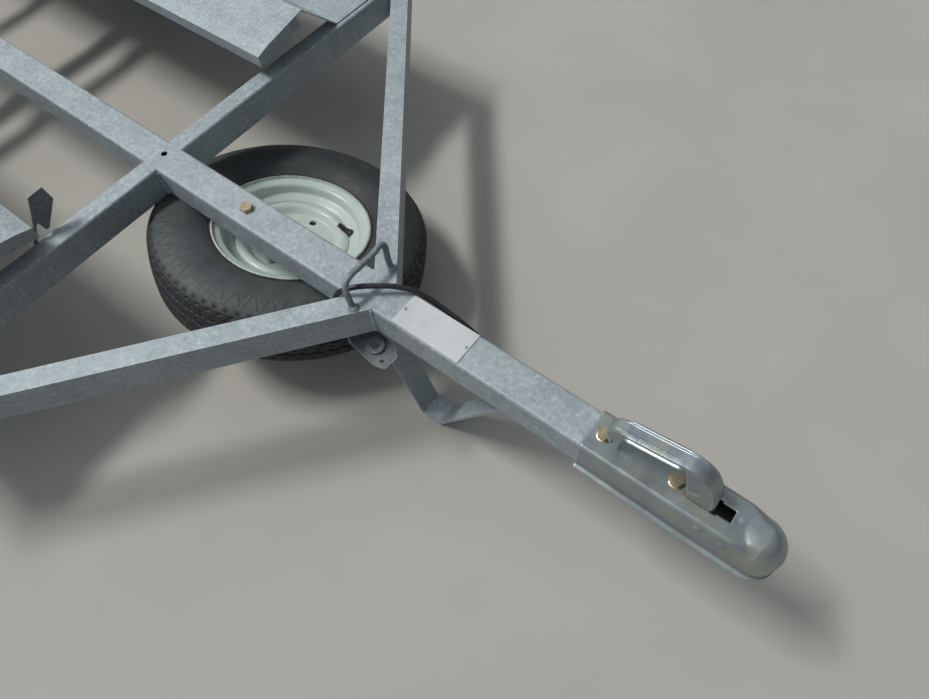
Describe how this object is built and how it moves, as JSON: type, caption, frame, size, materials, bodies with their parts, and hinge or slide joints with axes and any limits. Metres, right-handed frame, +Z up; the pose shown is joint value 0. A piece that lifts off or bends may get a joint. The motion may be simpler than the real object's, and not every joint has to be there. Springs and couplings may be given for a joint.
{
  "type": "motorcycle trailer",
  "caption": "Flat galvanised trailer with two folded wheel rails, a V-braced square drawbar, a ball coupler, a spare wheel under the spine and a fixed V-stand.",
  "frame": {"origin": "on the ground, under the middle of the overall box", "axes": "+X forward to the coupler, +Y to the left side, +Z up"},
  "size_m": [3.1, 1.74, 0.6253],
  "materials": {
    "galvanised": "hot-dip galvanised steel, mottled spangle",
    "zinc": "bright zinc-plated pressed steel",
    "yellow_zinc": "yellow-passivated zinc",
    "tyre": "black rubber tyre",
    "rim_paint": "pale mint-white painted steel, chipped",
    "hub_paint": "black painted cast hub",
    "black_plastic": "grained black plastic",
    "cable_rubber": "black sheathed cable",
    "lamp_lens": "red lens",
    "amber_lens": "amber reflex reflector",
    "white_plate": "blank off-white plate"
  },
  "bodies": {
    "chassis": {"spine_tube": "galvanised", "front_cross_member": "galvanised", "middle_cross_members": "galvanised", "rear_cross_member": "galvanised", "side_member_left": "galvanised", "side_member_right": "galvanised", "diagonal_left": "galvanised", "diagonal_right": "galvanised", "rail_left": "galvanised", "rail_right": "galvanised", "axle_plates": "galvanised", "axle_beam": "galvanised", "trailing_arm_left": "galvanised", "trailing_arm_right": "galvanised", "rim_spare": "rim_paint", "tyre_spare": "tyre", "spare_wheel_bolt": "yellow_zinc", "wheel_stop_left": "galvanised", "wheel_stop_right": "galvanised", "mudguard_left": "black_plastic", "mudguard_right": "black_plastic", "mudguard_stays": "galvanised", "coupler_body": "zinc", "coupler_handle": "zinc", "coupler_bolts": "yellow_zinc", "v_stand": "galvanised", "rope_loop": "galvanised", "apex_bracket": "galvanised", "upright_bracket": "zinc", "label_plate": "white_plate", "lamp_board": "black_plastic", "tail_lamp_left": "lamp_lens", "tail_lamp_right": "lamp_lens", "number_plate": "white_plate", "side_reflectors": "amber_lens", "cable_grommet": "black_plastic", "cable": "cable_rubber", "plug": "black_plastic", "plug_holder": "galvanised"},
    "wheel_left": {"hub_left": "hub_paint", "rim_left": "rim_paint", "tyre_left": "tyre"},
    "wheel_right": {"hub_right": "hub_paint", "rim_right": "rim_paint", "tyre_right": "tyre"}
  },
  "joints": [
    {"name": "wheel_left_spin", "type": "hinge", "parent": "chassis", "child": "wheel_left", "pos_m": [-0.7, 0.77, 0.253], "axis": [0, 1, 0], "continuous": true},
    {"name": "wheel_right_spin", "type": "hinge", "parent": "chassis", "child": "wheel_right", "pos_m": [-0.7, -0.77, 0.253], "axis": [0, 1, 0], "continuous": true}
  ]
}
